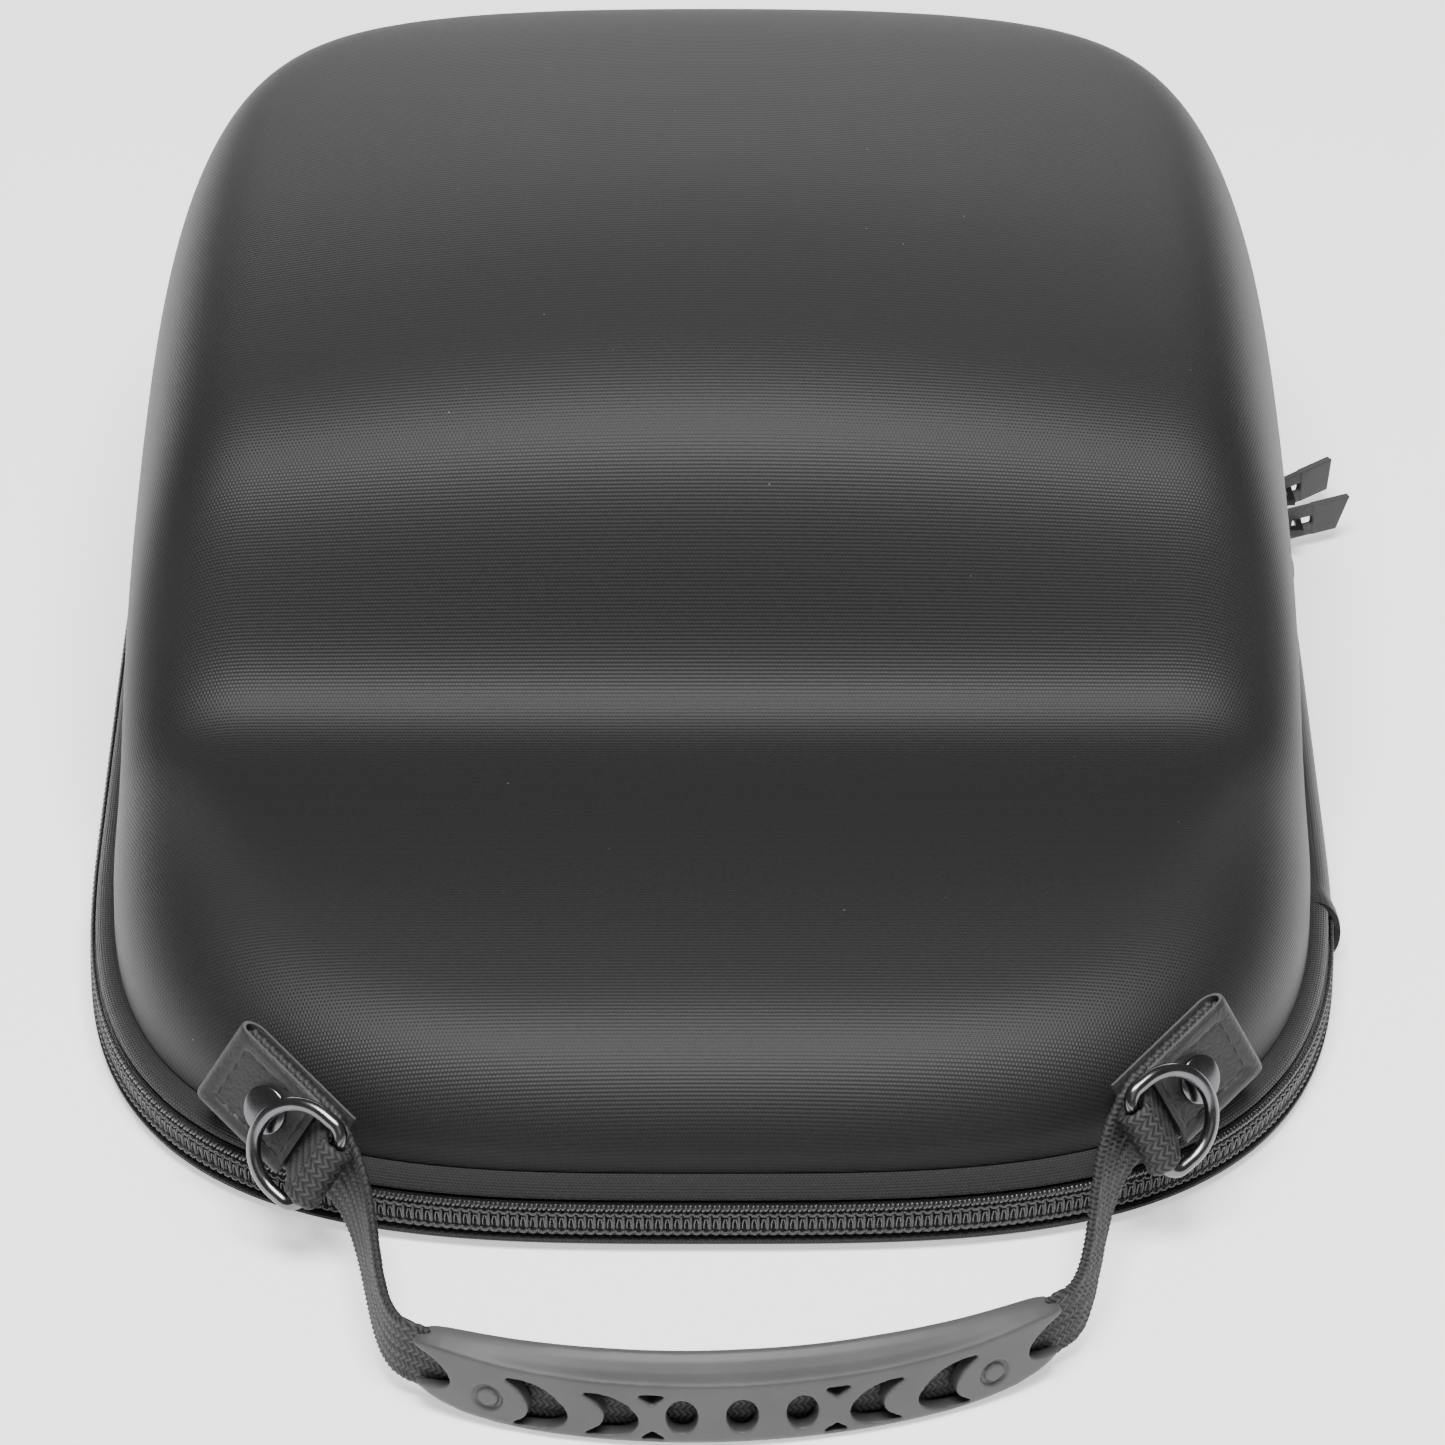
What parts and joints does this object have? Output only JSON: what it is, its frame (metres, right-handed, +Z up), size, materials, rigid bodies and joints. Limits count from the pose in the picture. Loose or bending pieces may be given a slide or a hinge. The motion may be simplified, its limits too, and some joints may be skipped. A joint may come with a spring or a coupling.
{
  "type": "baseball cap carrier case",
  "caption": "Hollow moulded hard case for a baseball cap, low at the brim and high at the crown, with a zip, a fabric hinge and a webbing handle with a rubber grip.",
  "frame": {"origin": "middle of the flat underside of the base, midway along and across the case's own outline, handle left out", "axes": "+X to the hinge side, +Y to the crown end, -Y to the brim and handle end, +Z up"},
  "size_m": [0.2253, 0.3268, 0.0953],
  "materials": {
    "shell_fabric": "fine charcoal knit bonded over moulded foam board, matt",
    "hinge_fabric": "the same fabric as a seam tape over the hinge, matt",
    "zip_tape": "woven polyester tape, matt",
    "zip_coil": "nylon coil, slight sheen",
    "slider_metal": "black enamelled zinc, satin",
    "pull_leather": "grey faux leather, slight grain",
    "tab_leather": "grey faux leather with lighter cut edges",
    "webbing": "ribbed polyester webbing, matt",
    "black_metal": "black nickel, glossy",
    "grip_rubber": "moulded grey rubber, matt"
  },
  "bodies": {
    "case": {"top_shell": "shell_fabric", "bottom_shell": "shell_fabric", "hinge_strip": "hinge_fabric", "zip_tape_upper": "zip_tape", "zip_tape_lower": "zip_tape", "zip_coil": "zip_coil", "slider_front": "slider_metal", "slider_rear": "slider_metal", "tab_left": "tab_leather", "tab_right": "tab_leather", "keeper_left": "webbing", "keeper_right": "webbing", "rivet_left": "black_metal", "rivet_right": "black_metal", "handle_webbing": "webbing", "grip": "grip_rubber"},
    "ring_left": {"d_ring_left": "black_metal"},
    "ring_right": {"d_ring_right": "black_metal"},
    "puller_front": {"pull_front": "pull_leather"},
    "puller_rear": {"pull_rear": "pull_leather"}
  },
  "joints": [
    {"name": "ring_left_swing", "type": "hinge", "parent": "case", "child": "ring_left", "pos_m": [-0.0627, -0.14118, 0.01813], "axis": [0.5276, 0.1246, 0.8403], "range_deg": [0, 140]},
    {"name": "ring_right_swing", "type": "hinge", "parent": "case", "child": "ring_right", "pos_m": [0.06994, -0.13649, 0.02142], "axis": [0.4699, -0.1422, -0.8712], "range_deg": [0, 140]},
    {"name": "pull_front_swing", "type": "hinge", "parent": "case", "child": "puller_front", "pos_m": [0.10714, 0.06742, 0.0061], "axis": [0, 0, 1], "range_deg": [-90, 15]},
    {"name": "pull_rear_swing", "type": "hinge", "parent": "case", "child": "puller_rear", "pos_m": [0.10622, 0.07766, 0.0061], "axis": [0, 0, 1], "range_deg": [-22, 55]}
  ]
}
